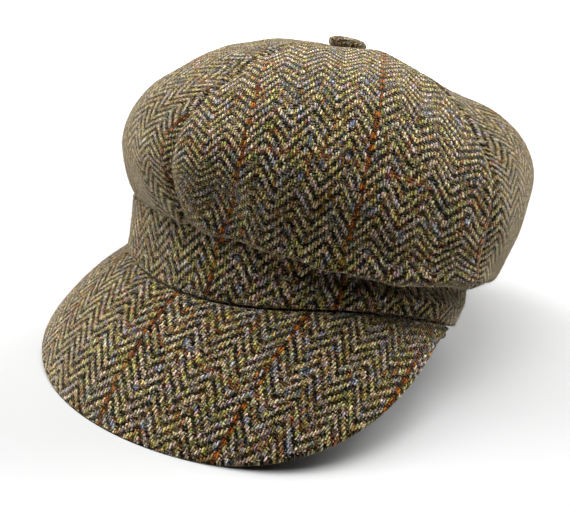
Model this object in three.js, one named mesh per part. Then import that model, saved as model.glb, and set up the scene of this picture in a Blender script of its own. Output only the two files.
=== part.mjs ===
// Baker boy cap in herringbone tweed, lying on the rim of its peak and the back of its band.
// Millimetres, +Z up, the wearer's front toward -Y and the wearer's left toward +X.
// The cap is shaped upright in its own frame, then leaned back to the way it rests on a table.
import * as THREE from 'three';

// Band round the head opening, as an oval that flares a little toward the crown
const BAND_HALF_WIDTH = 95;
const BAND_HALF_LENGTH = 89;
const BAND_TOP = 37;
const BAND_FLARE = 3;

// Cloth
const CLOTH = 2;
const PIECE_GAP = 0.4;

// Peak: a stiff crescent that slopes down from the band and flattens toward its ends
const PEAK_LENGTH = 78;
const PEAK_HALF_ANGLE = 94;
const PEAK_THICKNESS = 3;
const PEAK_SLOPE = 64.5;
const PEAK_SIDE_EASING = 32.5;
const PEAK_FAN = 0.6;
const PEAK_TAPER_START = 4.8;
const PEAK_TAPER_POWER = 2;
const PEAK_END_WIDTH = 5;
const PEAK_CAMBER = 4.5;

// Crown: four panels that meet under a covered button
const CROWN_TOP = 139;
const CROWN_HEART = 70;
const SEAM_AZIMUTHS = [0, 90, 180, 270];
const SEAM_DEPTH = 1.6;
const SEAM_WIDTH = 6;
const PANEL_TURN = 90;
const DRAW_FADE = 0.12;
const BUTTON_HOLE = 4;
const BUTTON_SEAT = 138.2;

// Resting pose
const REST_LEAN = 18;
const REST_PRESS = 3;
const REST_SHIFT = 2;

// Facets
const PANEL_COLUMNS = 12;
const PANEL_ROWS = 16;
const BAND_COLUMNS = 60;
const BAND_ROWS = 2;
const PEAK_COLUMNS = 34;
const PEAK_ROWS = 6;
const BUTTON_SIDES = 18;
const NORMAL_STEP = 0.004;
const HOLE_STEP = 0.002;

// Shape of one side, repeated on the other, at azimuths of 0, 45, 90, 135 and 180 degrees from the front.
// rim is the height of the band's lower edge. fold is where the overhanging crown turns up,
// bulge its widest place, shoulder where it turns over and dome the slope up to the button.
// An out is measured from the top of the band, a radius from the axis, a height from the rim's plane.
const SECTIONS = {
  rim: [3.5, 10, 11, 3, 0],
  foldOut: [6, 3, 8.5, 9, 12],
  fold: [40, 38, 36, 34, 34],
  bulgeOut: [23, 14, 12.5, 20.5, 28],
  bulge: [67, 68, 66, 84, 55],
  shoulderRadius: [103, 96, 98.5, 100.5, 105],
  shoulder: [97, 100.5, 102, 114, 99],
  domeRadius: [54, 62.5, 51, 66, 62],
  dome: [131, 127, 135, 124, 124],
};

// Soft dents in the crown. along runs from 0 at the band to 1 at the button.
const DENTS = [
  { azimuth: 14, along: 0.31, depth: 3.5, spread: 8, reach: 0.07 },
  { azimuth: 104, along: 0.84, depth: 4, spread: 14, reach: 0.09 },
  { azimuth: 140, along: 0.3, depth: 5, spread: 12, reach: 0.12 },
  { azimuth: 222, along: 0.3, depth: 5, spread: 14, reach: 0.12 },
  { azimuth: 305, along: 0.66, depth: 3, spread: 16, reach: 0.1 },
];

// Covered button, from the middle of its flat underside round to the middle of its top
const BUTTON_PROFILE = [
  { radius: 0, height: 0 },
  { radius: 8.6, height: 0 },
  { radius: 10.1, height: 1.5 },
  { radius: 10.5, height: 3 },
  { radius: 10, height: 4.4 },
  { radius: 8.4, height: 5.6 },
  { radius: 5, height: 6.3 },
  { radius: 0, height: 6.5 },
];

const TWEED = new THREE.Color(0x6f6550);
const SHADES = { crown: 1, band: 0.96, peak: 0.94, button: 1.05 };
const TWEED_ROUGHNESS = 0.95;
const radians = THREE.MathUtils.degToRad;

// Even, smooth curve round the cap through one column of the sections
function around(column, azimuth) {
  const values = SECTIONS[column];
  const last = values.length - 1;
  let sum = 0;
  for (let wave = 0; wave <= last; wave += 1) {
    let weight = 0;
    values.forEach((value, index) => {
      const share = index === 0 || index === last ? 0.5 : 1;
      weight += share * value * Math.cos((Math.PI * index * wave) / last);
    });
    const end = wave === 0 || wave === last ? 0.5 : 1;
    sum += ((2 * end * weight) / last) * Math.cos(wave * radians(azimuth));
  }
  return sum;
}

// Plan point of the band's oval, grown outward
function oval(azimuth, grow) {
  const turn = radians(azimuth);
  const halfWidth = BAND_HALF_WIDTH + grow;
  const halfLength = BAND_HALF_LENGTH + grow;
  return new THREE.Vector2(halfWidth * Math.sin(turn), -halfLength * Math.cos(turn));
}

// Smallest turn from one azimuth to another, in degrees
function turnBetween(from, to) {
  return ((((to - from) % 360) + 540) % 360) - 180;
}

// Catmull-Rom step through four points
function splinePoint(a, b, c, d, f) {
  const mix = (p, q, r, s) =>
    0.5 * (2 * q + (r - p) * f + (2 * p - 5 * q + 4 * r - s) * f * f + (3 * q - p - 3 * r + s) * f * f * f);
  return new THREE.Vector2(mix(a.x, b.x, c.x, d.x), mix(a.y, b.y, c.y, d.y));
}

// Radius and height of the crown at an azimuth, from 0 at the band to 1 at the button
function crownProfile(azimuth, along) {
  const base = oval(azimuth, BAND_FLARE).length();
  const dome = new THREE.Vector2(around('domeRadius', azimuth), around('dome', azimuth));
  const points = [
    new THREE.Vector2(base - CLOTH / 2, BAND_TOP + CLOTH / 2),
    new THREE.Vector2(base + around('foldOut', azimuth), around('fold', azimuth)),
    new THREE.Vector2(base + around('bulgeOut', azimuth), around('bulge', azimuth)),
    new THREE.Vector2(around('shoulderRadius', azimuth), around('shoulder', azimuth)),
    dome,
    new THREE.Vector2(0, CROWN_TOP),
  ];
  const before = points[0].clone().multiplyScalar(2).sub(points[1]);
  const after = new THREE.Vector2(-dome.x, dome.y);
  const chain = [before, ...points, after];
  const spans = points.length - 1;
  const place = along * spans;
  const step = Math.min(Math.floor(place), spans - 1);
  return splinePoint(chain[step], chain[step + 1], chain[step + 2], chain[step + 3], place - step);
}

// How far the crown is drawn in at its seams and dents
function crownDraw(azimuth, along, radius) {
  const seamTurns = SEAM_AZIMUTHS.map((seam) => Math.abs(turnBetween(seam, azimuth)));
  const seamDistance = radius * radians(Math.min(...seamTurns));
  let draw = SEAM_DEPTH * Math.exp(-((seamDistance / SEAM_WIDTH) ** 2));
  for (const dent of DENTS) {
    const turn = turnBetween(dent.azimuth, azimuth) / dent.spread;
    const rise = (along - dent.along) / dent.reach;
    draw += dent.depth * Math.exp(-(turn ** 2) - rise ** 2);
  }
  return draw * THREE.MathUtils.smoothstep(along, 0, DRAW_FADE);
}

// Outer face of the crown, drawn in toward a point on the axis
function crownPoint(azimuth, along) {
  const profile = crownProfile(azimuth, along);
  const turn = radians(azimuth);
  const point = new THREE.Vector3(profile.x * Math.sin(turn), -profile.x * Math.cos(turn), profile.y);
  const inward = new THREE.Vector3(0, 0, CROWN_HEART).sub(point).normalize();
  return point.addScaledVector(inward, crownDraw(azimuth, along, Math.max(profile.x, 1)));
}

// Outer face of the band, from 0 at its lower edge to 1 at the crown
function bandPoint(azimuth, up) {
  const plan = oval(azimuth, BAND_FLARE * up);
  const rim = around('rim', azimuth);
  return new THREE.Vector3(plan.x, plan.y, rim + (BAND_TOP - rim) * up);
}

// Upper face of the peak: across runs from -1 to 1 between its ends, out from 0 at the band to 1 at the rim
function peakPoint(across, out) {
  const azimuth = PEAK_HALF_ANGLE * across;
  const start = bandPoint(azimuth, 0);
  start.z -= PIECE_GAP;
  const plan = oval(azimuth, 0);
  const outward = new THREE.Vector2(plan.x / BAND_HALF_WIDTH ** 2, plan.y / BAND_HALF_LENGTH ** 2);
  outward.normalize();
  const heading = new THREE.Vector2(0, PEAK_FAN - 1).addScaledVector(outward, PEAK_FAN).normalize();
  const taper = Math.max(1 - Math.abs(across) ** PEAK_TAPER_START, 0) ** PEAK_TAPER_POWER;
  const width = PEAK_END_WIDTH + (PEAK_LENGTH - PEAK_END_WIDTH) * taper;
  const slope = radians(PEAK_SLOPE - PEAK_SIDE_EASING * across * across);
  const run = new THREE.Vector3(heading.x * Math.cos(slope), heading.y * Math.cos(slope), -Math.sin(slope));
  const rise = new THREE.Vector3(heading.x * Math.sin(slope), heading.y * Math.sin(slope), Math.cos(slope));
  const camber = PEAK_CAMBER * taper * 4 * out * (1 - out);
  return start.addScaledVector(run, width * out).addScaledVector(rise, camber);
}

// The way the cap rests: leaned back, set down and flattened where it presses on the table
function rest(point) {
  const lean = radians(REST_LEAN);
  const lift = BAND_HALF_LENGTH * Math.sin(lean) - REST_PRESS;
  const y = point.y * Math.cos(lean) + point.z * Math.sin(lean) + REST_SHIFT;
  const z = point.z * Math.cos(lean) - point.y * Math.sin(lean) + lift;
  return new THREE.Vector3(point.x, y, Math.max(z, 0));
}

// Unit normal of a face given by a function of two numbers from 0 to 1
function faceNormal(face, u, v) {
  const alongU = face(u + NORMAL_STEP, v).sub(face(u - NORMAL_STEP, v));
  const alongV = face(u, Math.min(v + NORMAL_STEP, 1)).sub(face(u, Math.max(v - NORMAL_STEP, 0)));
  return alongU.cross(alongV).normalize();
}

// Closed wall between a face and the same face set back by the thickness
function wall(face, thickness, columns, rows, closed) {
  const rings = closed ? columns : columns + 1;
  const positions = [];
  const indices = [];
  for (const depth of [0, thickness]) {
    for (let i = 0; i < rings; i += 1) {
      for (let j = 0; j <= rows; j += 1) {
        const u = i / columns;
        const v = j / rows;
        const point = face(u, v).addScaledVector(faceNormal(face, u, v), -depth);
        positions.push(...rest(point).toArray());
      }
    }
  }
  const half = rings * (rows + 1);
  const at = (side, i, j) => side * half + (i % rings) * (rows + 1) + j;
  const quad = (a, b, c, d) => indices.push(a, b, c, a, c, d);
  for (let i = 0; i < columns; i += 1) {
    for (let j = 0; j < rows; j += 1) {
      quad(at(0, i, j), at(0, i + 1, j), at(0, i + 1, j + 1), at(0, i, j + 1));
      quad(at(1, i, j), at(1, i, j + 1), at(1, i + 1, j + 1), at(1, i + 1, j));
    }
    quad(at(1, i, 0), at(1, i + 1, 0), at(0, i + 1, 0), at(0, i, 0));
    quad(at(0, i, rows), at(0, i + 1, rows), at(1, i + 1, rows), at(1, i, rows));
  }
  if (!closed) {
    for (let j = 0; j < rows; j += 1) {
      quad(at(0, 0, j), at(0, 0, j + 1), at(1, 0, j + 1), at(1, 0, j));
      quad(at(1, columns, j), at(1, columns, j + 1), at(0, columns, j + 1), at(0, columns, j));
    }
  }
  const geometry = new THREE.BufferGeometry();
  geometry.setAttribute('position', new THREE.Float32BufferAttribute(positions, 3));
  geometry.setIndex(indices);
  geometry.computeVertexNormals();
  return geometry;
}

// One sub-part with a tweed material of its own
function tweedPiece(name, geometry, shade) {
  const color = TWEED.clone().multiplyScalar(shade);
  const cloth = new THREE.MeshStandardMaterial({ color, roughness: TWEED_ROUGHNESS, metalness: 0 });
  const mesh = new THREE.Mesh(geometry, cloth);
  mesh.name = name;
  return mesh;
}

// A crown panel between two neighbouring seams
function crownPanel(name, firstSeam) {
  const reach = alongAtHole();
  const face = (u, v) => {
    const along = v * reach;
    const radius = Math.max(crownProfile(firstSeam + PANEL_TURN * u, along).x, BUTTON_HOLE);
    const margin = THREE.MathUtils.radToDeg(PIECE_GAP / 2 / radius);
    return crownPoint(firstSeam + margin + (PANEL_TURN - 2 * margin) * u, along);
  };
  return tweedPiece(name, wall(face, CLOTH, PANEL_COLUMNS, PANEL_ROWS, false), SHADES.crown);
}

// Where the panels stop round the small hole under the button
function alongAtHole() {
  let along = 1;
  while (crownProfile(0, along).x < BUTTON_HOLE) {
    along -= HOLE_STEP;
  }
  return along;
}

function band() {
  const face = (u, v) => bandPoint(360 * u, v);
  return tweedPiece('band', wall(face, CLOTH, BAND_COLUMNS, BAND_ROWS, true), SHADES.band);
}

function peak() {
  const face = (u, v) => peakPoint(2 * u - 1, 1 - v);
  return tweedPiece('peak', wall(face, PEAK_THICKNESS, PEAK_COLUMNS, PEAK_ROWS, false), SHADES.peak);
}

// Cloth-covered button: a flat-bottomed dome on the crown's axis
function crownButton() {
  const profile = BUTTON_PROFILE.map((ring) => new THREE.Vector2(ring.radius, ring.height));
  const geometry = new THREE.LatheGeometry(profile, BUTTON_SIDES);
  geometry.rotateX(Math.PI / 2);
  geometry.translate(0, 0, BUTTON_SEAT);
  const places = geometry.attributes.position;
  for (let i = 0; i < places.count; i += 1) {
    const point = rest(new THREE.Vector3().fromBufferAttribute(places, i));
    places.setXYZ(i, point.x, point.y, point.z);
  }
  return tweedPiece('crown_button', geometry, SHADES.button);
}

const cap = new THREE.Group();
cap.add(crownPanel('crown_panel_front_left', SEAM_AZIMUTHS[0]));
cap.add(crownPanel('crown_panel_back_left', SEAM_AZIMUTHS[1]));
cap.add(crownPanel('crown_panel_back_right', SEAM_AZIMUTHS[2]));
cap.add(crownPanel('crown_panel_front_right', SEAM_AZIMUTHS[3]));
cap.add(crownButton());
cap.add(band());
cap.add(peak());

export default cap;
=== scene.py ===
import math
from collections import namedtuple
from types import SimpleNamespace

import bpy
import numpy as np
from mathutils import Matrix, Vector


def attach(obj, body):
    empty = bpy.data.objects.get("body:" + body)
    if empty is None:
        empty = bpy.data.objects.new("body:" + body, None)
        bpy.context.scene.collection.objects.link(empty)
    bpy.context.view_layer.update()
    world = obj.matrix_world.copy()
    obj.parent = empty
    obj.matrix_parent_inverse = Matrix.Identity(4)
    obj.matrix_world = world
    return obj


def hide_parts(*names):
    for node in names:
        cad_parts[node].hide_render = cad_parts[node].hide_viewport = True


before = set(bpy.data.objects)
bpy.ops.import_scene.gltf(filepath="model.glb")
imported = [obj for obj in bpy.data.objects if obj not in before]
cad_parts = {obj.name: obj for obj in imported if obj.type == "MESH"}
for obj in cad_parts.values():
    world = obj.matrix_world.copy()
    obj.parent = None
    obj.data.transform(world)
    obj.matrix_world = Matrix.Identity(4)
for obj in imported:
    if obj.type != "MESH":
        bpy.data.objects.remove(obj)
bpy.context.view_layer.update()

# Shape of the cap in millimetres and degrees, the same values as its solids
MM = 0.001
BAND_HALF_WIDTH = 95.0
BAND_HALF_LENGTH = 89.0
BAND_TOP = 37.0
BAND_FLARE = 3.0
CLOTH = 2.0
PIECE_GAP = 0.4
PEAK_LENGTH = 78.0
PEAK_HALF_ANGLE = 94.0
PEAK_THICKNESS = 3.0
PEAK_SLOPE = 64.5
PEAK_SIDE_EASING = 32.5
PEAK_FAN = 0.6
PEAK_TAPER_START = 4.8
PEAK_TAPER_POWER = 2.0
PEAK_END_WIDTH = 5.0
PEAK_CAMBER = 4.5
CROWN_TOP = 139.0
CROWN_HEART = 70.0
SEAM_AZIMUTHS = (0.0, 90.0, 180.0, 270.0)
SEAM_DEPTH = 1.6
SEAM_WIDTH = 6.0
PANEL_TURN = 90.0
SEWN_REACH = 0.12
BUTTON_HOLE = 4.0
BUTTON_SEAT = 138.2
REST_LEAN = 18.0
REST_PRESS = 3.0
REST_SHIFT = 2.0

# Shape of one side at azimuths of 0, 45, 90, 135 and 180 degrees from the front
SECTIONS = {
    "rim": (3.5, 10, 11, 3, 0),
    "fold_out": (6, 3, 8.5, 9, 12),
    "fold": (40, 38, 36, 34, 34),
    "bulge_out": (23, 14, 12.5, 20.5, 28),
    "bulge": (67, 68, 66, 84, 55),
    "shoulder_radius": (103, 96, 98.5, 100.5, 105),
    "shoulder": (97, 100.5, 102, 114, 99),
    "dome_radius": (54, 62.5, 51, 66, 62),
    "dome": (131, 127, 135, 124, 124),
}

# Soft dents of the crown: place round it and along its profile, depth, spread in degrees and reach
Dent = namedtuple("Dent", "azimuth along depth spread reach")
DENTS = (
    Dent(14, 0.31, 3.5, 8, 0.07),
    Dent(104, 0.84, 4, 14, 0.09),
    Dent(140, 0.3, 5, 12, 0.12),
    Dent(222, 0.3, 5, 14, 0.12),
    Dent(305, 0.66, 3, 16, 0.1),
)

# Covered button: radius and height of its rings
BUTTON_PROFILE = ((0, 0), (8.6, 0), (10.1, 1.5), (10.5, 3), (10, 4.4), (8.4, 5.6), (5, 6.3), (0, 6.5))

# Least values in formulas: a vector's length, the crown's radius, a step along a panel and its bend
LEAST_LENGTH = 1e-9
LEAST_RADIUS = 1.0
LEAST_STEP = 1e-6
LEAST_BEND = 1e-4


def unit(vectors):
    return vectors / np.maximum(np.linalg.norm(vectors, axis=-1, keepdims=True), LEAST_LENGTH)


# Smooth hump of height 1 that falls off over a width
def bell(distance, width):
    return np.exp(-((distance / width) ** 2))


def smooth_step(value, low, high):
    t = np.clip((value - low) / (high - low), 0, 1)
    return t * t * (3 - 2 * t)


# Signed turn from one azimuth to another, from -180 to 180 degrees
def turn_between(start, end):
    return (end - start + 540.0) % 360.0 - 180.0


# Curve round the cap through one row of the sections, alike on both sides
def around(row, azimuth):
    values = np.array(SECTIONS[row], float)
    last = len(values) - 1
    share = np.ones(last + 1)
    share[[0, last]] = 0.5
    index = np.arange(last + 1)
    total = np.zeros(np.shape(azimuth))
    for wave in range(last + 1):
        weight = np.sum(share * values * np.cos(np.pi * index * wave / last))
        total = total + 2 * share[wave] * weight / last * np.cos(wave * np.radians(azimuth))
    return total


# Plan point of the band's oval, grown outward
def oval(azimuth, grow):
    turn = np.radians(azimuth)
    return (BAND_HALF_WIDTH + grow) * np.sin(turn), -(BAND_HALF_LENGTH + grow) * np.cos(turn)


# Radius and height of the crown's smooth profile, from 0 at the band to 1 at the button
def crown_profile(azimuth, along):
    base = np.hypot(*oval(azimuth, BAND_FLARE))
    zero = np.zeros(np.shape(azimuth))
    points = [
        (base - CLOTH / 2, zero + BAND_TOP + CLOTH / 2),
        (base + around("fold_out", azimuth), around("fold", azimuth)),
        (base + around("bulge_out", azimuth), around("bulge", azimuth)),
        (around("shoulder_radius", azimuth), around("shoulder", azimuth)),
        (around("dome_radius", azimuth), around("dome", azimuth)),
        (zero, zero + CROWN_TOP),
    ]
    lead_in = (2 * points[0][0] - points[1][0], 2 * points[0][1] - points[1][1])
    lead_out = (-points[-2][0], points[-2][1])
    chain = np.array([lead_in, *points, lead_out])
    spans = len(points) - 1
    place = along * spans
    step = np.minimum(np.floor(place), spans - 1).astype(int)
    t = place - step
    before, start, end, after = (np.take_along_axis(chain, (step + k)[None, None], 0)[0] for k in range(4))
    slope = end - before
    curve = 2 * before - 5 * start + 4 * end - after
    twist = 3 * start - before - 3 * end + after
    return 0.5 * (2 * start + slope * t + curve * t**2 + twist * t**3)


# Distance to the nearest crown seam, round the cap
def seam_distance(azimuth, radius):
    turns = [np.abs(turn_between(seam, azimuth)) for seam in SEAM_AZIMUTHS]
    return radius * np.radians(np.min(turns, axis=0))


# Depth that each row of a table of dents has at a place on the crown
def dent_depths(dents, azimuth, along):
    for dent in dents:
        turn = turn_between(dent.azimuth, azimuth) / dent.spread
        rise = (along - dent.along) / dent.reach
        yield dent.depth * np.exp(-(turn**2) - rise**2)


# How free the crown's cloth is, from 0 where it is sewn to the band
def freedom(along):
    return smooth_step(along, 0, SEWN_REACH)


# How far the crown is drawn in at its seams and dents
def crown_draw(azimuth, along, radius):
    draw = SEAM_DEPTH * bell(seam_distance(azimuth, radius), SEAM_WIDTH)
    for depth in dent_depths(DENTS, azimuth, along):
        draw = draw + depth
    return draw * freedom(along)


def crown_point(azimuth, along):
    radius, height = crown_profile(azimuth, along)
    turn = np.radians(azimuth)
    point = np.stack([radius * np.sin(turn), -radius * np.cos(turn), height], -1)
    inward = unit(np.array([0, 0, CROWN_HEART]) - point)
    return point + inward * crown_draw(azimuth, along, np.maximum(radius, LEAST_RADIUS))[..., None]


def band_point(azimuth, up):
    x, y = oval(azimuth, BAND_FLARE * up)
    rim = around("rim", azimuth)
    return np.stack([x, y, rim + (BAND_TOP - rim) * up], -1)


# Upper face of the peak, across from -1 to 1 and out from 0 at the band to 1 at the rim
def peak_point(across, out):
    azimuth = PEAK_HALF_ANGLE * across
    start = band_point(azimuth, np.zeros(np.shape(across)))
    start[..., 2] -= PIECE_GAP
    x, y = oval(azimuth, 0)
    outward = unit(np.stack([x / BAND_HALF_WIDTH**2, y / BAND_HALF_LENGTH**2], -1))
    heading = unit(PEAK_FAN * outward + np.array([0, PEAK_FAN - 1]))
    taper = np.maximum(1 - np.abs(across) ** PEAK_TAPER_START, 0) ** PEAK_TAPER_POWER
    width = PEAK_END_WIDTH + (PEAK_LENGTH - PEAK_END_WIDTH) * taper
    slope = np.radians(PEAK_SLOPE - PEAK_SIDE_EASING * across**2)
    run = np.concatenate([heading * np.cos(slope)[..., None], -np.sin(slope)[..., None]], -1)
    rise = np.concatenate([heading * np.sin(slope)[..., None], np.cos(slope)[..., None]], -1)
    camber = PEAK_CAMBER * taper * 4 * out * (1 - out)
    return start + run * (width * out)[..., None] + rise * camber[..., None]


# The way the cap rests: leaned back, set down and flattened on the table
def rest(point):
    lean = math.radians(REST_LEAN)
    lift = BAND_HALF_LENGTH * math.sin(lean) - REST_PRESS
    y = point[..., 1] * math.cos(lean) + point[..., 2] * math.sin(lean) + REST_SHIFT
    z = point[..., 2] * math.cos(lean) - point[..., 1] * math.sin(lean) + lift
    return np.stack([point[..., 0], y, np.maximum(z, 0)], -1)


# Unit normals of a grid of points, facing out of the cloth
def grid_normals(points, closed):
    if closed:
        along_u = np.roll(points, -1, 0) - np.roll(points, 1, 0)
    else:
        along_u = np.gradient(points, axis=0)
    return unit(np.cross(along_u, np.gradient(points, axis=1)))


# Running length along one axis of a grid of points
def arc(points, axis):
    steps = np.linalg.norm(np.diff(points, axis=axis), axis=-1)
    start = np.zeros_like(np.take(steps, [0], axis=axis))
    return np.concatenate([start, np.cumsum(steps, axis=axis)], axis)


# Soft waves that run on from piece to piece, between about -1 and 1
RIPPLE_SEED = 11
RIPPLE_WAVES = 16


def ripple(points, shortest, longest):
    random = np.random.default_rng(RIPPLE_SEED)
    total = np.zeros(points.shape[:-1])
    for _ in range(RIPPLE_WAVES):
        direction = random.normal(size=3)
        direction /= np.linalg.norm(direction)
        wavelength = random.uniform(shortest, longest)
        phase = random.uniform(0, 2 * np.pi)
        total += np.sin(points @ direction * 2 * np.pi / wavelength + phase)
    return total / math.sqrt(RIPPLE_WAVES)


# Shader nodes of a material or a world, wired one expression at a time
class Wiring:
    # Sockets of the mix node
    NUMBERS_TO_MIX = (2, 3)
    COLOURS_TO_MIX = (6, 7)
    MIXED_NUMBER = 0
    MIXED_COLOUR = 2

    def __init__(self, owner):
        owner.use_nodes = True
        self.tree = owner.node_tree
        self.tree.nodes.clear()

    def node(self, kind, **settings):
        made = self.tree.nodes.new(kind)
        for key, value in settings.items():
            setattr(made, key, value)
        return made

    def feed(self, socket, value):
        if isinstance(value, bpy.types.NodeSocket):
            self.tree.links.new(value, socket)
        else:
            socket.default_value = value

    def math(self, operation, *values):
        made = self.node("ShaderNodeMath", operation=operation)
        for socket, value in zip(made.inputs, values):
            self.feed(socket, value)
        return made.outputs[0]

    def vector(self, x, y, z):
        made = self.node("ShaderNodeCombineXYZ")
        for socket, value in zip(made.inputs, (x, y, z)):
            self.feed(socket, value)
        return made.outputs[0]

    def split(self, vector):
        made = self.node("ShaderNodeSeparateXYZ")
        self.feed(made.inputs[0], vector)
        return made.outputs

    def feed_mix(self, made, factor, sockets, values):
        self.feed(made.inputs[0], factor)
        for socket, value in zip(sockets, values):
            self.feed(made.inputs[socket], value)

    def mix(self, factor, first, second, blend="MIX"):
        made = self.node("ShaderNodeMix", data_type="RGBA", blend_type=blend)
        self.feed_mix(made, factor, self.COLOURS_TO_MIX, (first, second))
        return made.outputs[self.MIXED_COLOUR]

    def choose(self, factor, first, second):
        made = self.node("ShaderNodeMix", data_type="FLOAT")
        self.feed_mix(made, factor, self.NUMBERS_TO_MIX, (first, second))
        return made.outputs[self.MIXED_NUMBER]

    def white_noise(self, x, y, layer):
        made = self.node("ShaderNodeTexWhiteNoise", noise_dimensions="3D")
        self.feed(made.inputs["Vector"], self.vector(x, y, layer))
        return made.outputs["Value"]

    def noise(self, vector, scale, detail, output="Fac"):
        made = self.node("ShaderNodeTexNoise")
        self.feed(made.inputs["Vector"], vector)
        made.inputs["Scale"].default_value = scale
        made.inputs["Detail"].default_value = detail
        return made.outputs[output]

    def ramp(self, factor, stops, interpolation="CONSTANT"):
        made = self.node("ShaderNodeValToRGB")
        made.color_ramp.interpolation = interpolation
        elements = made.color_ramp.elements
        while len(elements) < len(stops):
            elements.new(1.0)
        for element, (position, colour) in zip(elements, stops):
            element.position = position
            element.color = (*colour, 1.0)
        self.feed(made.inputs["Fac"], factor)
        return made.outputs["Color"]

    def bump(self, height, strength, distance):
        made = self.node("ShaderNodeBump")
        made.inputs["Strength"].default_value = strength
        made.inputs["Distance"].default_value = distance
        self.feed(made.inputs["Height"], height)
        return made.outputs["Normal"]

    def surface(self, colour, finish):
        shader = self.node("ShaderNodeBsdfPrincipled")
        self.feed(shader.inputs["Base Color"], colour)
        for socket, value in finish.items():
            self.feed(shader.inputs[socket], value)
        output = self.node("ShaderNodeOutputMaterial")
        self.feed(output.inputs["Surface"], shader.outputs[0])


# Weave in threads: herringbone columns, twill repeat and the float in it, rust and maroon stripes
COLUMN_THREADS = 8.0
TWILL_THREADS = 4.0
FLOAT_THREADS = 2.0
STRIPE_COLUMNS = 6
STRIPE_THREADS = COLUMN_THREADS * STRIPE_COLUMNS
STRIPE_WIDTH = 2.0
CROSS_THREADS = 42.0
CROSS_WIDTH = 2.0

# How far the threads stray from straight lines, in threads, and the scale of it
WANDER = 1.5
WANDER_SCALE = 0.2
SHAKE = 0.8
SHAKE_SCALE = 1.1

# Rounding of a yarn across it and of a float along it: power and depth
YARN_ROUNDING = (1.5, 1.0)
FLOAT_ROUNDING = (4.0, 0.6)

# Grain of the fibres in a yarn
FIBRE_TWIST = 0.25
FIBRE_STRETCH = 0.45
FIBRE_COARSE_SCALE = 2.1
FIBRE_FINE_SCALE = 4.4
FIBRE_FINE_SHARE = 0.5
FIBRE_CONTRAST = 180000.0
FIBRE_BRIGHTEST = 2.4

# Painted shade of the yarn by its swell, darker at the edges and ends of each float, and tone of large
# patches: factor and offset
SWELL_SHADE = (0.5, 0.07)
PATCH_TONE = (0.5, 0.75)
PATCH_SCALE = 0.07
TINT_SCALE = 0.18

# Share of the stripes that shows, and stray fibres of the other yarn
RUST_KEPT = 0.76
MAROON_KEPT = 0.65
HEATHER_SCALE = 1.5
HEATHER_START = 0.575
HEATHER_SHARE = 0.6

# Layers of the random patterns, so that no two of one kind are alike
DARK_LAYER = 0.5
LIGHT_LAYER = 1.0
RUST_KEPT_LAYER = 5.0
RUST_LAYER = 6.0
MAROON_KEPT_LAYER = 7.0
WEFT_FIBRE_LAYER = 3.0
WARP_FIBRE_LAYER = 6.0
HEATHER_LAYER = 9.0

# Relief of the weave, in metres, and the share that the fibres have in it
WEAVE_RELIEF = 0.0006
WEAVE_STRENGTH = 0.8
FIBRE_RELIEF = 0.8
TWEED_FINISH = {
    "Roughness": 0.95,
    "Specular IOR Level": 0.02,
    "Sheen Weight": 0.65,
    "Sheen Roughness": 0.22,
    "Sheen Tint": (1.0, 0.86, 0.62, 1.0),
}

# Yarn colours: place on the ramp and linear colour
LIGHT_YARN = (
    (0.0, (0.66, 0.58, 0.45)),
    (0.20, (0.56, 0.455, 0.315)),
    (0.42, (0.52, 0.46, 0.195)),
    (0.60, (0.46, 0.395, 0.415)),
    (0.74, (0.28, 0.30, 0.315)),
    (0.84, (0.34, 0.305, 0.12)),
    (0.93, (0.40, 0.20, 0.08)),
)
DARK_YARN = (
    (0.0, (0.012, 0.012, 0.009)),
    (0.30, (0.014, 0.019, 0.018)),
    (0.48, (0.055, 0.034, 0.014)),
    (0.66, (0.040, 0.038, 0.012)),
    (0.80, (0.085, 0.026, 0.012)),
    (0.90, (0.13, 0.10, 0.06)),
)
RUST_YARN = (
    (0.0, (0.46, 0.15, 0.02)),
    (0.45, (0.34, 0.10, 0.015)),
    (0.8, (0.18, 0.04, 0.012)),
)
MAROON = (0.15, 0.045, 0.02, 1.0)
TINTS = (
    (0.32, (1.14, 0.95, 1.06)),
    (0.44, (0.98, 1.06, 0.70)),
    (0.56, (1.20, 0.94, 0.80)),
    (0.68, (0.86, 1.02, 1.28)),
)


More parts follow.
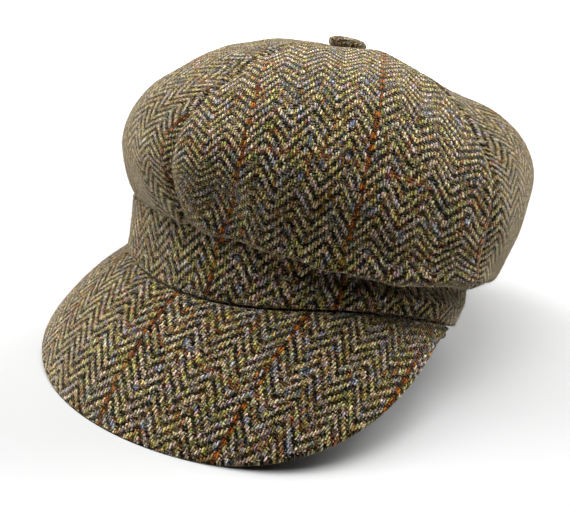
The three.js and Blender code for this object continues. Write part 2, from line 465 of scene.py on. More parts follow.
# Threads at a point of the herringbone: their numbers, which one is on top, and where the point lies on it
def herringbone(wiring):
    coords = wiring.node("ShaderNodeUVMap", uv_map="weave").outputs["UV"]
    place = wiring.split(coords)
    wander = wiring.split(wiring.noise(coords, WANDER_SCALE, detail=2.0, output="Color"))
    shake = wiring.split(wiring.noise(coords, SHAKE_SCALE, detail=1.0, output="Color"))

    def strayed(start, noise, amount):
        centred = wiring.math("SUBTRACT", noise, 0.5)
        return wiring.math("MULTIPLY_ADD", centred, amount, start)

    u, v = (strayed(strayed(place[axis], wander[axis], WANDER), shake[axis], SHAKE) for axis in (0, 1))
    warp = wiring.math("FLOOR", u)
    weft = wiring.math("FLOOR", v)
    warp_side = wiring.math("SUBTRACT", u, warp)
    weft_side = wiring.math("SUBTRACT", v, weft)

    zigzag = wiring.math("FLOOR", wiring.math("PINGPONG", wiring.math("ADD", warp, 0.5), COLUMN_THREADS))
    diagonal = wiring.math("SUBTRACT", weft, zigzag)
    line = wiring.math("FLOOR", wiring.math("DIVIDE", diagonal, TWILL_THREADS))
    phase = wiring.math("MULTIPLY_ADD", line, -TWILL_THREADS, diagonal)
    warp_up = wiring.math("LESS_THAN", phase, FLOAT_THREADS - 0.5)
    column = wiring.math("FLOOR", wiring.math("DIVIDE", warp, COLUMN_THREADS))
    falling = wiring.math("FLOORED_MODULO", column, 2.0)

    def along_float(threads, side):
        return wiring.math("MULTIPLY", wiring.math("ADD", threads, side), 1 / FLOAT_THREADS)

    warp_along = along_float(phase, weft_side)
    weft_rising = along_float(wiring.math("SUBTRACT", TWILL_THREADS - 1, phase), warp_side)
    weft_falling = along_float(wiring.math("SUBTRACT", phase, FLOAT_THREADS), warp_side)
    weft_along = wiring.choose(falling, weft_rising, weft_falling)
    return SimpleNamespace(
        coords=coords,
        u=u,
        v=v,
        warp=warp,
        weft=weft,
        line=line,
        column=column,
        warp_up=warp_up,
        along=wiring.choose(warp_up, weft_along, warp_along),
        across=wiring.choose(warp_up, weft_side, warp_side),
    )


# Round swell of each float, from its edges to its middle
def yarn_swell(wiring, weave):
    def rounded(value, power, depth):
        centred = wiring.math("ABSOLUTE", wiring.math("MULTIPLY_ADD", value, 2.0, -1.0))
        return wiring.math("MULTIPLY_ADD", wiring.math("POWER", centred, power), -depth, 1.0)

    across = rounded(weave.across, *YARN_ROUNDING)
    along = rounded(weave.along, *FLOAT_ROUNDING)
    return wiring.math("MULTIPLY", across, along)


# Fine grain of the fibres that twist along the yarn on top
def fibre_grain(wiring, weave):
    def grain(side, length, layer):
        twisted = wiring.math("MULTIPLY_ADD", length, FIBRE_TWIST, side)
        stretched = wiring.math("MULTIPLY", length, FIBRE_STRETCH)
        coarse = wiring.noise(wiring.vector(twisted, stretched, layer), FIBRE_COARSE_SCALE, detail=1.0)
        fine = wiring.noise(wiring.vector(twisted, stretched, layer + 1), FIBRE_FINE_SCALE, detail=1.0)
        return wiring.choose(FIBRE_FINE_SHARE, coarse, fine)

    weft_grain = grain(weave.v, weave.u, WEFT_FIBRE_LAYER)
    warp_grain = grain(weave.u, weave.v, WARP_FIBRE_LAYER)
    return wiring.choose(weave.warp_up, weft_grain, warp_grain)


# Colour of the yarn on top: light warp with rust stripes, dark weft with maroon ones, and stray fibres
def yarn_colour(wiring, weave):
    def within(thread, repeat, width):
        return wiring.math("LESS_THAN", wiring.math("FLOORED_MODULO", thread, repeat), width)

    def striped(yarn, stripe, inside, chance, kept):
        shown = wiring.math("MULTIPLY", inside, wiring.math("LESS_THAN", chance, kept))
        return wiring.mix(shown, yarn, stripe)

    light = wiring.ramp(wiring.white_noise(weave.warp, weave.line, LIGHT_LAYER), LIGHT_YARN)
    rust = wiring.ramp(wiring.white_noise(weave.warp, weave.line, RUST_LAYER), RUST_YARN)
    in_stripe = within(wiring.math("ADD", weave.warp, STRIPE_WIDTH / 2), STRIPE_THREADS, STRIPE_WIDTH)
    chance = wiring.white_noise(weave.warp, weave.line, RUST_KEPT_LAYER)
    light = striped(light, rust, in_stripe, chance, RUST_KEPT)

    dark_layer = wiring.math("ADD", weave.column, DARK_LAYER)
    dark = wiring.ramp(wiring.white_noise(weave.weft, weave.line, dark_layer), DARK_YARN)
    in_cross = within(weave.weft, CROSS_THREADS, CROSS_WIDTH)
    chance = wiring.white_noise(weave.weft, weave.column, MAROON_KEPT_LAYER)
    dark = striped(dark, MAROON, in_cross, chance, MAROON_KEPT)

    top = wiring.mix(weave.warp_up, dark, light)
    under = wiring.mix(weave.warp_up, light, dark)
    heather = wiring.noise(wiring.vector(weave.u, weave.v, HEATHER_LAYER), HEATHER_SCALE, detail=2.0)
    stray = wiring.math("MULTIPLY", wiring.math("GREATER_THAN", heather, HEATHER_START), HEATHER_SHARE)
    return wiring.mix(stray, top, under)


# Brightness of the yarn, from its fibres, painted shade by its swell in the gaps between floats, and large
# soft patches
def yarn_tone_and_shade(wiring, weave, swell, fibre):
    contrast = wiring.math("POWER", FIBRE_CONTRAST, wiring.math("SUBTRACT", fibre, 0.5))
    tone = wiring.math("MINIMUM", contrast, FIBRE_BRIGHTEST)
    # Painted shade: the colour darkens toward the gaps between floats, where shade falls
    tone = wiring.math("MULTIPLY", tone, wiring.math("MULTIPLY_ADD", swell, *SWELL_SHADE))
    patch = wiring.noise(weave.coords, PATCH_SCALE, detail=2.0)
    return wiring.math("MULTIPLY", tone, wiring.math("MULTIPLY_ADD", patch, *PATCH_TONE))


def make_tweed():
    material = bpy.data.materials.new("tweed")
    wiring = Wiring(material)
    weave = herringbone(wiring)
    swell = yarn_swell(wiring, weave)
    fibre = fibre_grain(wiring, weave)
    tone = yarn_tone_and_shade(wiring, weave, swell, fibre)
    tint = wiring.ramp(wiring.noise(weave.coords, TINT_SCALE, detail=1.0), TINTS, "LINEAR")
    colour = wiring.mix(1.0, yarn_colour(wiring, weave), tint, "MULTIPLY")
    # The tone darkens the colour with painted shade in the gaps between floats
    colour = wiring.mix(1.0, colour, wiring.vector(tone, tone, tone), "MULTIPLY")
    height = wiring.math("MULTIPLY_ADD", fibre, FIBRE_RELIEF, swell)
    relief = wiring.bump(height, WEAVE_STRENGTH, WEAVE_RELIEF)
    wiring.surface(colour, {**TWEED_FINISH, "Normal": relief})
    return material


# Loose wool fibres, a colour for each
FUZZ_YARN = (
    (0.0, (0.27, 0.22, 0.13)),
    (0.35, (0.19, 0.15, 0.065)),
    (0.65, (0.17, 0.15, 0.12)),
    (0.85, (0.06, 0.045, 0.025)),
)
FUZZ_FINISH = {"Roughness": 1.0, "Specular IOR Level": 0.0}


def make_fuzz_material():
    material = bpy.data.materials.new("tweed_fuzz")
    wiring = Wiring(material)
    pick = wiring.node("ShaderNodeNewGeometry").outputs["Random Per Island"]
    wiring.surface(wiring.ramp(pick, FUZZ_YARN), FUZZ_FINISH)
    return material


tweed = make_tweed()
fuzz_material = make_fuzz_material()


# Mesh object from points in millimetres, faces and weave coordinates, which run on past a ring's joint
def make_piece(name, verts, faces, coords, material, turn_threads=0.0):
    mesh = bpy.data.meshes.new(name)
    mesh.from_pydata((verts * MM).tolist(), [], faces)
    layer = mesh.uv_layers.new(name="weave")
    loops = np.empty(len(mesh.loops), dtype=np.int32)
    mesh.loops.foreach_get("vertex_index", loops)
    placed = coords[loops]
    if turn_threads:
        quads = placed[:, 0].reshape(-1, 4)
        past_joint = quads.max(1, keepdims=True) - quads > turn_threads / 2
        placed[:, 0] += turn_threads * past_joint.ravel()
    layer.uv.foreach_set("vector", placed.astype(np.float32).ravel())
    mesh.polygons.foreach_set("use_smooth", np.ones(len(mesh.polygons), dtype=bool))
    mesh.materials.append(material)
    mesh.update()
    piece = bpy.data.objects.new(name, mesh)
    bpy.context.scene.collection.objects.link(piece)
    return piece


# How far a cut edge of cloth rounds out, as a share of its thickness
EDGE_ROUNDING = 0.4


# Closed cloth wall from its outer face, with rounded edges and weave coordinates in threads
def cloth_wall(name, face, weave, thickness, closed, turn_threads):
    columns, rows = face.shape[:2]
    back = face - grid_normals(face, closed) * thickness
    verts = np.concatenate([rest(layer).reshape(-1, 3) for layer in (face, back)])
    coords = np.concatenate([weave.reshape(-1, 2)] * 2)
    half = columns * rows
    ids = np.arange(half).reshape(columns, rows)
    wrapped = np.concatenate([ids, ids[:1]]) if closed else ids
    corners = [wrapped[:-1, :-1], wrapped[1:, :-1], wrapped[1:, 1:], wrapped[:-1, 1:]]
    front = np.stack(corners, -1).reshape(-1, 4)
    faces = [front, front[:, ::-1] + half]

    middle = (face + back) / 2
    inside_out = slice(None, None, -1)
    as_made = slice(None)
    edges = [(wrapped[:, 0], middle[:, 0], middle[:, 1], as_made)]
    edges.append((wrapped[:, -1], middle[:, -1], middle[:, -2], inside_out))
    if not closed:
        edges.append((ids[0], middle[0], middle[1], inside_out))
        edges.append((ids[-1], middle[-1], middle[-2], as_made))
    for ring, edge, inner, order in edges:
        rounded = rest(edge + unit(edge - inner) * thickness * EDGE_ROUNDING)
        mid = len(verts) + np.arange(len(rounded))
        verts = np.concatenate([verts, rounded])
        coords = np.concatenate([coords, coords[ring[: len(rounded)]]])
        if closed:
            mid = np.concatenate([mid, mid[:1]])
        for low, high in ((ring, mid), (mid, ring + half)):
            quads = np.stack([low[:-1], high[:-1], high[1:], low[1:]], -1)
            faces.append(quads[:, order])
    return make_piece(name, verts, np.concatenate(faces).tolist(), coords, tweed, turn_threads)


# Loose fibres in millimetres and degrees, so many to a square millimetre, with shares of their length
FUZZ_LENGTH = 2.6
FUZZ_SHORTEST = 0.25
FUZZ_LENGTH_POWER = 1.5
FUZZ_WIDTH = 0.05
FUZZ_DENSITY = 0.5
FUZZ_LEAN = (15, 85)
FUZZ_BEND_PLACE = 0.55
FUZZ_CURL = 0.25
FUZZ_LIFT = 0.3
FUZZ_POINTS = 5
FUZZ_SEEDS = {
    "crown_panel_front_left": 22,
    "crown_panel_back_left": 111,
    "crown_panel_back_right": 202,
    "crown_panel_front_right": 293,
    "band": 5,
    "peak": 6,
    "crown_button": 7,
}


# Short fibres that stand out of a grid of points, each a bent ribbon with a pointed end
def grow_fuzz(node, face, closed):
    random = np.random.default_rng(FUZZ_SEEDS[node])
    if closed:
        face = np.concatenate([face, face[:1]])
    side_u = face[1:, :-1] - face[:-1, :-1]
    side_v = face[:-1, 1:] - face[:-1, :-1]
    normals = np.cross(side_u, side_v)
    areas = np.linalg.norm(normals, axis=-1)
    count = int(areas.sum() * FUZZ_DENSITY)
    cells = random.choice(areas.size, count, p=(areas / areas.sum()).ravel())
    i, j = np.unravel_index(cells, areas.shape)
    part_u = random.random((count, 1))
    part_v = random.random((count, 1))
    root = face[i, j] + side_u[i, j] * part_u + side_v[i, j] * part_v
    normal = normals[i, j] / areas[i, j][:, None]
    stray = random.normal(size=(count, 3))
    stray = unit(stray - normal * np.sum(stray * normal, -1, keepdims=True))
    lean = np.radians(random.uniform(*FUZZ_LEAN, (count, 1)))
    way = normal * np.cos(lean) + stray * np.sin(lean)
    length = FUZZ_LENGTH * random.uniform(FUZZ_SHORTEST, 1.0, (count, 1)) ** FUZZ_LENGTH_POWER
    side = unit(np.cross(way, random.normal(size=(count, 3)))) * FUZZ_WIDTH / 2
    curl = random.normal(size=(count, 3)) * length * FUZZ_CURL
    bend = root + way * length * FUZZ_BEND_PLACE
    tip = root + way * length + curl
    points = rest(np.stack([root - side, root + side, bend + side, bend - side, tip], 1))
    points[..., 2] = np.maximum(points[..., 2], FUZZ_LIFT)
    first = np.arange(count)[:, None] * FUZZ_POINTS
    ribbons = (first + [0, 1, 2, 3]).tolist()
    tips = (first + [3, 2, 4]).tolist()
    coords = np.zeros((count * FUZZ_POINTS, 2))
    return make_piece(node + "_fuzz", points.reshape(-1, 3), ribbons + tips, coords, fuzz_material)


# Cloth and loose fibres in place of one solid
def dress(node, face, warp, weft, thickness, closed=False, turn_threads=0.0):
    weave = np.stack([warp, weft], -1)
    piece = cloth_wall(node + "_cloth", face, weave, thickness, closed, turn_threads)
    fuzz = grow_fuzz(node, face, closed)
    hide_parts(node)
    return piece, fuzz


# Waist of the band, drawn in under the crown's lower edge on the wearer's left
WAIST = 12.0
WAIST_PLACE = 76.0
WAIST_SPREAD = 35.0
WAIST_FADE = (0.35, 0.72)


def waist(azimuth):
    return WAIST * bell(turn_between(WAIST_PLACE, azimuth), WAIST_SPREAD)


# Raised seam allowances of the crown, its waves, and the gathers above the band
SEAM_FILL = 0.2
SIDE_SEAM_FILL = 1.0
SEAM_RIDGE = 0.4
SEAM_RIDGE_PLACE = 4.2
SEAM_RIDGE_WIDTH = 2.2
SEAM_CUT = 0.5
SEAM_CUT_WIDTH = 1.2
SEAM_FADE = (9.0, 26.0)
PANEL_RIPPLE = 0.55
PANEL_RIPPLE_LENGTHS = (26.0, 60.0)
GATHERS = 27
GATHER_DEPTH = 0.8
GATHER_PLACE = 0.15
GATHER_REACH = 0.11
GATHER_DRIFT = 2.2
GATHER_DRIFT_WAVES = 5
GATHER_DRIFT_START = 1
GATHER_MEAN = 0.6
GATHER_CHANGE = 0.4
GATHER_CHANGE_WAVES = 3
GATHER_CHANGE_START = 0.5
RELIEF_FADE = (0.02, SEWN_REACH)

# Soft tucks of the crown, with a depth below zero where its lower edge swells
TUCKS = (
    Dent(130, 0.2, 1.5, 32, 0.08),
    Dent(-130, 0.2, 1.5, 32, 0.08),
    Dent(-46, 0.36, 2, 22, 0.12),
    Dent(64, 0.19, -8, 38, 0.07),
    Dent(-88, 0.19, -5, 26, 0.07),
    Dent(-42, 0.17, 2.5, 24, 0.07),
)


# Relief of the crown's seams, outward
def seam_relief(azimuth, radius):
    distance = seam_distance(azimuth, radius)
    ridge = SEAM_RIDGE * bell(distance - SEAM_RIDGE_PLACE, SEAM_RIDGE_WIDTH)
    side = np.sin(np.radians(azimuth)) ** 2
    fill = (SEAM_FILL + SIDE_SEAM_FILL * side) * bell(distance, SEAM_WIDTH)
    cut = SEAM_CUT * bell(distance, SEAM_CUT_WIDTH)
    return (fill + ridge - cut) * smooth_step(radius, *SEAM_FADE)


# Small upright folds where the crown is gathered on the band
def gathers(azimuth, along):
    turn = np.radians(azimuth)
    drift = GATHER_DRIFT * np.sin(turn * GATHER_DRIFT_WAVES + GATHER_DRIFT_START)
    wave = np.cos(turn * GATHERS + drift)
    change = GATHER_MEAN + GATHER_CHANGE * np.sin(turn * GATHER_CHANGE_WAVES + GATHER_CHANGE_START)
    return GATHER_DEPTH * wave * change * bell(along - GATHER_PLACE, GATHER_REACH)


# Relief of the crown, outward: seams, soft waves, gathers and tucks
def crown_relief(azimuth, along, radius, points):
    relief = seam_relief(azimuth, radius)
    relief = relief + PANEL_RIPPLE * ripple(points, *PANEL_RIPPLE_LENGTHS)
    relief = relief + gathers(azimuth, along)
    for depth in dent_depths(TUCKS, azimuth, along):
        relief = relief - depth
    return relief * smooth_step(along, *RELIEF_FADE)


# Lower edge of the crown: raised on the wearer's left, and softly rolled at the back
EDGE_RISE = 5.5
EDGE_RISE_PLACE = 88.0
EDGE_RISE_SPREAD = 40.0
EDGE_RISE_ALONG = 0.2
EDGE_RISE_REACH = 0.09
BACK_FOLD_ROUNDS = 30
BACK_FOLD_FADE = (0.25, 0.6)


# Points drawn toward their neighbours along each column, so that a sharp fold becomes a soft roll
def softened(points, rounds):
    points = points.copy()
    for _ in range(rounds):
        points[:, 1:-1] = (points[:, :-2] + 2 * points[:, 1:-1] + points[:, 2:]) / 4
    return points


# Outer face of the crown
def crown_face(azimuth, along, radius):
    turn = np.radians(azimuth)
    face = crown_point(azimuth, along)
    back = smooth_step(-np.cos(turn), *BACK_FOLD_FADE)
    face = face + (softened(face, BACK_FOLD_ROUNDS) - face) * back[..., None]
    face = face + grid_normals(face, False) * crown_relief(azimuth, along, radius, face)[..., None]
    rise = EDGE_RISE * bell(turn_between(EDGE_RISE_PLACE, azimuth), EDGE_RISE_SPREAD)
    face[..., 2] += rise * bell(along - EDGE_RISE_ALONG, EDGE_RISE_REACH) * freedom(along)
    inset = waist(azimuth) * (1 - freedom(along))
    face[..., 0] -= np.sin(turn) * inset
    face[..., 1] += np.cos(turn) * inset
    return face


# Crown panels: first seam, azimuth and lean of the grain, stripes off the grain, side where columns widen
Panel = namedtuple("Panel", "seam grain lean stripe cross wide_side")
PANELS = {
    "front_left": Panel(0.0, 41.5, 0.033, 12.5, -13.0, 1),
    "back_left": Panel(90.0, 135.0, 0.0, -30.0, 20.0, 0),
    "back_right": Panel(180.0, 225.0, 0.0, 30.0, 40.0, 0),
    "front_right": Panel(270.0, 318.5, -0.033, 78.0, 30.0, -1),
}
PANEL_COLUMNS = 120
PANEL_ROWS = 150
PANEL_CLOSENESS = 0.7
PANEL_OVERLAP = 0.05
PANEL_THREAD = 1.22
PANEL_PICK = 1.62
PANEL_WIDENING = 0.003
PANEL_WIDENING_START = 12.5
HOLE_SEARCH_END = 0.8
HOLE_SEARCH_STEPS = 200


# Steps from 0 to 1, closer together near both ends
def eased_steps(count, closeness):
    t = np.linspace(0, 1, count)
    return t - closeness * np.sin(2 * np.pi * t) / (2 * np.pi)


# Place along the crown's profile where the button's hole begins
def along_at_hole():
    places = np.linspace(1, HOLE_SEARCH_END, HOLE_SEARCH_STEPS)
    radius = crown_profile(np.zeros(HOLE_SEARCH_STEPS), places)[0]
    return places[np.argmax(radius >= BUTTON_HOLE)]


# Threads of a panel that is laid flat, with each level line as an arc across its grain line
def panel_weave(azimuth, along, panel):
    radius, height = crown_profile(azimuth, along)
    length = arc(np.stack([radius, height], -1), 1)
    narrowing = -np.gradient(radius, axis=1) / np.maximum(np.gradient(length, axis=1), LEAST_STEP)
    turn = np.radians(azimuth - panel.grain)
    bend = narrowing * turn
    bend = np.where(np.abs(bend) < LEAST_BEND, LEAST_BEND, bend)
    across = radius * turn * np.sin(bend) / bend
    outer = np.maximum(panel.wide_side * across - PANEL_WIDENING_START, 0)
    across = across - panel.wide_side * PANEL_WIDENING * outer**2
    up = length + radius * turn * (1 - np.cos(bend)) / bend
    warp = (across - panel.lean * up - panel.stripe) / PANEL_THREAD
    weft = (up - panel.cross) / PANEL_PICK
    return warp, weft


def crown_panel(corner, panel):
    u = eased_steps(PANEL_COLUMNS, PANEL_CLOSENESS)
    v = np.linspace(0, along_at_hole(), PANEL_ROWS)
    azimuth, along = np.meshgrid(panel.seam + PANEL_TURN * u, v, indexing="ij")
    radius = np.maximum(crown_profile(azimuth, along)[0], BUTTON_HOLE)
    azimuth = azimuth - np.degrees(PANEL_OVERLAP / radius) * (1 - 2 * u)[:, None]
    warp, weft = panel_weave(azimuth, along, panel)
    return dress("crown_panel_" + corner, crown_face(azimuth, along, radius), warp, weft, CLOTH)


panels = {corner: crown_panel(corner, panel) for corner, panel in PANELS.items()}

# Rise of the seam between band and peak on the wearer's left
SEAM_RISE = 4.5
SEAM_RISE_PLACE = 62.0
SEAM_RISE_SPREAD = 35.0


def seam_rise(azimuth):
    return SEAM_RISE * bell(turn_between(SEAM_RISE_PLACE, azimuth), SEAM_RISE_SPREAD)


# Band: weave, hem above the peak, swell at the front right, tucks at the back corners, turned edge
BAND_COLUMNS = 300
BAND_ROWS = 30
BAND_THREAD = 1.34
BAND_PICK = 1.65
BAND_STRIPE = 10.5
BAND_LEAN = 0.12
BAND_RIPPLE = 0.35
BAND_RIPPLE_LENGTHS = (22.0, 50.0)
BAND_HEM = 0.8
BAND_HEM_HEIGHT = 0.16
BAND_HEM_END = (0.0, 0.3)
BAND_SWELL = 2.5
BAND_SWELL_PLACE = -48.0
BAND_SWELL_SPREAD = 24.0
BAND_TUCK = 4.0
BAND_TUCK_PLACE = 128.0
BAND_TUCK_SPREAD = 22.0
BAND_TURN_IN = 2.6
BAND_TURN_DOWN = 3.5
BAND_TURN_END = (-0.17, -0.05)
BAND_TURN_LEAST = 0.1


# Outer face of the band, with its lower edge turned under where the peak is sewn on
def band_face(azimuth, up):
    forward = np.cos(np.radians(azimuth))
    face = band_point(azimuth, up)
    face[..., 2] += seam_rise(azimuth) * (1 - up)
    outward = grid_normals(face, True)
    push = BAND_RIPPLE * ripple(face, *BAND_RIPPLE_LENGTHS) * np.sin(np.pi * up)
    push = push + BAND_HEM * smooth_step(forward, *BAND_HEM_END) * bell(up, BAND_HEM_HEIGHT)
    push = push - BAND_TUCK * bell(np.abs(azimuth) - BAND_TUCK_PLACE, BAND_TUCK_SPREAD) * (1 - up)
    push = push - waist(azimuth) * smooth_step(up, *WAIST_FADE)
    push = push + BAND_SWELL * bell(turn_between(BAND_SWELL_PLACE, azimuth), BAND_SWELL_SPREAD)
    face = face + outward * push[..., None]
    sewn = BAND_TURN_LEAST + (1 - BAND_TURN_LEAST) * smooth_step(forward[:, :1], *BAND_TURN_END)
    ledge = face[:, 0] - outward[:, 0] * (BAND_TURN_IN * sewn)
    turned = ledge - np.array([0, 0, BAND_TURN_DOWN]) * sewn
    return np.concatenate([turned[:, None], ledge[:, None], face], 1)


def make_band():
    ring = np.linspace(-180, 180, BAND_COLUMNS + 1)
    face = band_face(*np.meshgrid(ring[:-1], np.linspace(0, 1, BAND_ROWS), indexing="ij"))
    height = face[..., 2]
    around_band = arc(np.stack(oval(ring, BAND_FLARE / 2), -1), 0)
    start = np.interp(BAND_STRIPE, ring, around_band)
    warp = (around_band[:-1, None] - start - BAND_LEAN * (height - BAND_TOP / 2)) / BAND_THREAD
    weft = height / BAND_PICK
    turn_threads = around_band[-1] / BAND_THREAD
    return dress("band", face, warp, weft, CLOTH, closed=True, turn_threads=turn_threads)


band, band_fuzz = make_band()

# Peak: weave on its flat pattern, and the groove along its seam
PEAK_COLUMNS = 201
PEAK_ROWS = 80
PEAK_THREAD = 1.281
PEAK_PICK = 1.55
PEAK_STRIPE = -2.0
PEAK_CROSS = -25.4
PEAK_GRAIN = 0.087
PEAK_SHEAR = 0.055
PEAK_STRETCH = 0.00174
PEAK_STRETCH_END = 121.0
PEAK_GROOVE = 1.2
PEAK_GROOVE_WIDTH = 0.05


# Flat point at known distances from two others, on one side of the line between them
def flat_point(first, second, from_first, from_second, side):
    way = second - first
    span = np.linalg.norm(way)
    way = way / span
    forward = (from_first**2 - from_second**2 + span**2) / (2 * span)
    sideways = math.sqrt(max(from_first**2 - forward**2, 0))
    return first + way * forward + np.array([-way[1], way[0]]) * sideways * side


# Flat pattern of the strip between two lines of points, unrolled from its middle
def unroll(edge, rim):
    count = len(edge)
    centre = count // 2
    flat_edge = np.zeros((count, 2))
    flat_rim = np.zeros((count, 2))
    flat_rim[centre, 1] = -np.linalg.norm(edge[centre] - rim[centre])
    for side, end in ((1, count - 1), (-1, 0)):
        for old in range(centre, end, side):
            new = old + side
            lengths = np.linalg.norm(edge[new] - np.array([edge[old], rim[old], rim[new]]), axis=-1)
            flat_edge[new] = flat_point(flat_edge[old], flat_rim[old], lengths[0], lengths[1], side)
            across = np.linalg.norm(rim[new] - rim[old])
            flat_rim[new] = flat_point(flat_edge[new], flat_rim[old], lengths[2], across, side)
    return flat_edge, flat_rim


def make_peak():
    steps = np.linspace(-1, 1, PEAK_COLUMNS)
    across, out = np.meshgrid(steps, np.linspace(1, 0, PEAK_ROWS), indexing="ij")
    face = peak_point(across, out)
    flat_edge, flat_rim = unroll(face[:, -1], face[:, 0])
    flat = flat_edge[:, None] * (1 - out)[..., None] + flat_rim[:, None] * out[..., None]
    face[..., 2] += seam_rise(PEAK_HALF_ANGLE * across) * (1 - out)
    face[..., 2] -= PEAK_GROOVE * bell(out, PEAK_GROOVE_WIDTH)
    side = flat[..., 0] - PEAK_SHEAR * flat[..., 1]
    side = side - PEAK_STRETCH * side * np.maximum(PEAK_STRETCH_END - np.abs(side), 0)
    warp = (side - PEAK_STRIPE) / PEAK_THREAD
    weft = (PEAK_CROSS - flat[..., 1] - PEAK_GRAIN * flat[..., 0]) / PEAK_PICK
    return dress("peak", face, warp, weft, PEAK_THICKNESS)


peak, peak_fuzz = make_peak()

# Covered button, and the drop over which its weave spreads to twice the width
BUTTON_SIDES = 48
BUTTON_THREAD = 1.2
BUTTON_DROP = 12.0


def make_button():
    rings = np.array(BUTTON_PROFILE[1:-1], float)
    turns = np.radians(np.arange(BUTTON_SIDES) * 360.0 / BUTTON_SIDES)
    radius = rings[:, :1]
    height = np.repeat(rings[:, 1:] + BUTTON_SEAT, BUTTON_SIDES, 1)
    grid = np.stack([radius * np.sin(turns), -radius * np.cos(turns), height], -1)
    top_height = BUTTON_SEAT + BUTTON_PROFILE[-1][1]
    verts = np.array([*grid.reshape(-1, 3), (0, 0, BUTTON_SEAT), (0, 0, top_height)])
    ids = np.arange(len(rings) * BUTTON_SIDES).reshape(len(rings), BUTTON_SIDES)
    turned = np.roll(ids, -1, 1)
    faces = np.stack([ids[:-1], turned[:-1], turned[1:], ids[1:]], -1).reshape(-1, 4).tolist()
    base = len(verts) - 2
    top = len(verts) - 1
    faces += [[base, b, a] for a, b in zip(ids[0], turned[0])]
    faces += [[top, a, b] for a, b in zip(ids[-1], turned[-1])]
    spread = 1 + (top_height - verts[:, 2:]) / BUTTON_DROP
    coords = verts[:, :2] * spread / BUTTON_THREAD
    piece = make_piece("crown_button_cloth", rest(verts), faces, coords, tweed)
    fuzz = grow_fuzz("crown_button", grid.transpose(1, 0, 2), True)
    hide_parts("crown_button")
    return piece, fuzz


button, button_fuzz = make_button()

# How the cloth was cut: flat size in metres and flat area in square metres
FRONT_CUT = ((0.175, 0.205), 0.0236)
BACK_CUT = ((0.19, 0.222), 0.0256)
PANEL_CUTS = {
    "front_left": FRONT_CUT,
    "back_left": BACK_CUT,
    "back_right": BACK_CUT,
    "front_right": FRONT_CUT,
}
for corner, (flat, area) in PANEL_CUTS.items():
    cloth, fuzz = panels[corner]

# Every piece rides on the one body
dressed = [band, band_fuzz, peak, peak_fuzz, button, button_fuzz]
for cloth, fuzz in panels.values():
    dressed += [cloth, fuzz]
for piece in dressed:
    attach(piece, "root")

# Floor of paper, in metres, a hair below the cap so that no faces coincide
FLOOR_SIZE = 2.4
FLOOR_PLACE = (0, 0, -0.0003)
PAPER_NEAR = (0.37, 0.37, 0.37, 1.0)
PAPER_FAR = (0.84, 0.84, 0.84, 1.0)
PAPER_FADE = (0.2, 1.3)
PAPER_FINISH = {"Roughness": 0.9}


# Paper that is a mid grey round the cap and paler far from it, where the softboxes give less light
def make_paper():
    material = bpy.data.materials.new("paper")
    wiring = Wiring(material)
    centre_distance = wiring.node("ShaderNodeVectorMath", operation="LENGTH")
    wiring.feed(centre_distance.inputs[0], wiring.node("ShaderNodeNewGeometry").outputs["Position"])
    fade = wiring.node("ShaderNodeMapRange", interpolation_type="SMOOTHSTEP")
    wiring.feed(fade.inputs["Value"], centre_distance.outputs["Value"])
    fade.inputs["From Min"].default_value = PAPER_FADE[0]
    fade.inputs["From Max"].default_value = PAPER_FADE[1]
    wiring.surface(wiring.mix(fade.outputs["Result"], PAPER_NEAR, PAPER_FAR), PAPER_FINISH)
    return material


bpy.ops.mesh.primitive_plane_add(size=FLOOR_SIZE, location=FLOOR_PLACE)
floor = bpy.context.object
floor.name = "floor"
floor.data.materials.append(make_paper())

# Studio: a white background that gives the cap itself only a little light
STUDIO_LIGHT = 0.03
WHITE = (1, 1, 1, 1)


def make_studio():
    world = bpy.data.worlds.new("studio")
    wiring = Wiring(world)
    dim = wiring.node("ShaderNodeBackground")
    dim.inputs["Strength"].default_value = STUDIO_LIGHT
    white = wiring.node("ShaderNodeBackground")
    white.inputs["Color"].default_value = WHITE
    seen = wiring.node("ShaderNodeMixShader")
    wiring.feed(seen.inputs[0], wiring.node("ShaderNodeLightPath").outputs["Is Camera Ray"])
    wiring.feed(seen.inputs[1], dim.outputs[0])
    wiring.feed(seen.inputs[2], white.outputs[0])
    wiring.feed(wiring.node("ShaderNodeOutputWorld").inputs["Surface"], seen.outputs[0])
    return world


bpy.context.scene.world = make_studio()

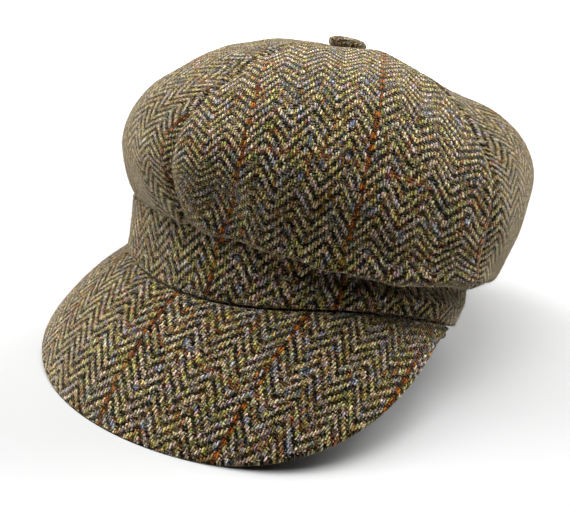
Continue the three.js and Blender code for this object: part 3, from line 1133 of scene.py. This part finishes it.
# Softboxes that all face the cap: place and size in metres, power in watts
Softbox = namedtuple("Softbox", "place size power")
SOFTBOXES = {
    "top_softbox": Softbox((0.05, -0.05, 2.08), 1.6, 62),
    "right_softbox": Softbox((0.5, 1.55, 1.23), 1.4, 78),
    "left_softbox": Softbox((-1.57, -0.48, 1.23), 1.8, 92),
}
CAP_CENTRE = (0, 0, 0.08)


def hang_softbox(name, softbox):
    light = bpy.data.lights.new(name, "AREA")
    light.shape = "SQUARE"
    light.size = softbox.size
    light.energy = softbox.power
    lamp = bpy.data.objects.new(name, light)
    lamp.location = softbox.place
    facing = Vector(CAP_CENTRE) - Vector(softbox.place)
    lamp.rotation_euler = facing.to_track_quat("-Z", "Y").to_euler()
    bpy.context.scene.collection.objects.link(lamp)


for name, softbox in SOFTBOXES.items():
    hang_softbox(name, softbox)

# Camera at the photograph's angle, in degrees and millimetres, with its focal length in pixels
IMAGE_WIDTH = 570
SENSOR_WIDTH = 36.0
CAMERA_AZIMUTH = 42.0
CAMERA_ELEVATION = 22.5
CAMERA_DISTANCE = 620.0
CAMERA_FOCUS = 1135.0
CAMERA_AIM = (0.0, REST_SHIFT, 61.0)
CAMERA_SIDE = -4.5
CAMERA_RISE = -10.5


def make_camera():
    turn = math.radians(CAMERA_AZIMUTH)
    tilt = math.radians(CAMERA_ELEVATION)
    toward = Vector((math.sin(turn) * math.cos(tilt), -math.cos(turn) * math.cos(tilt), math.sin(tilt)))
    right = Vector((math.cos(turn), math.sin(turn), 0))
    above = toward.cross(right)
    lens = bpy.data.cameras.new("camera")
    lens.sensor_width = SENSOR_WIDTH
    lens.lens = CAMERA_FOCUS / IMAGE_WIDTH * SENSOR_WIDTH
    camera = bpy.data.objects.new("camera", lens)
    place = Vector(CAMERA_AIM) + toward * CAMERA_DISTANCE + right * CAMERA_SIDE + above * CAMERA_RISE
    camera.location = place * MM
    camera.rotation_euler = (-toward).to_track_quat("-Z", "Y").to_euler()
    bpy.context.scene.collection.objects.link(camera)
    return camera


bpy.context.scene.camera = make_camera()
bpy.context.scene.view_settings.view_transform = "Standard"
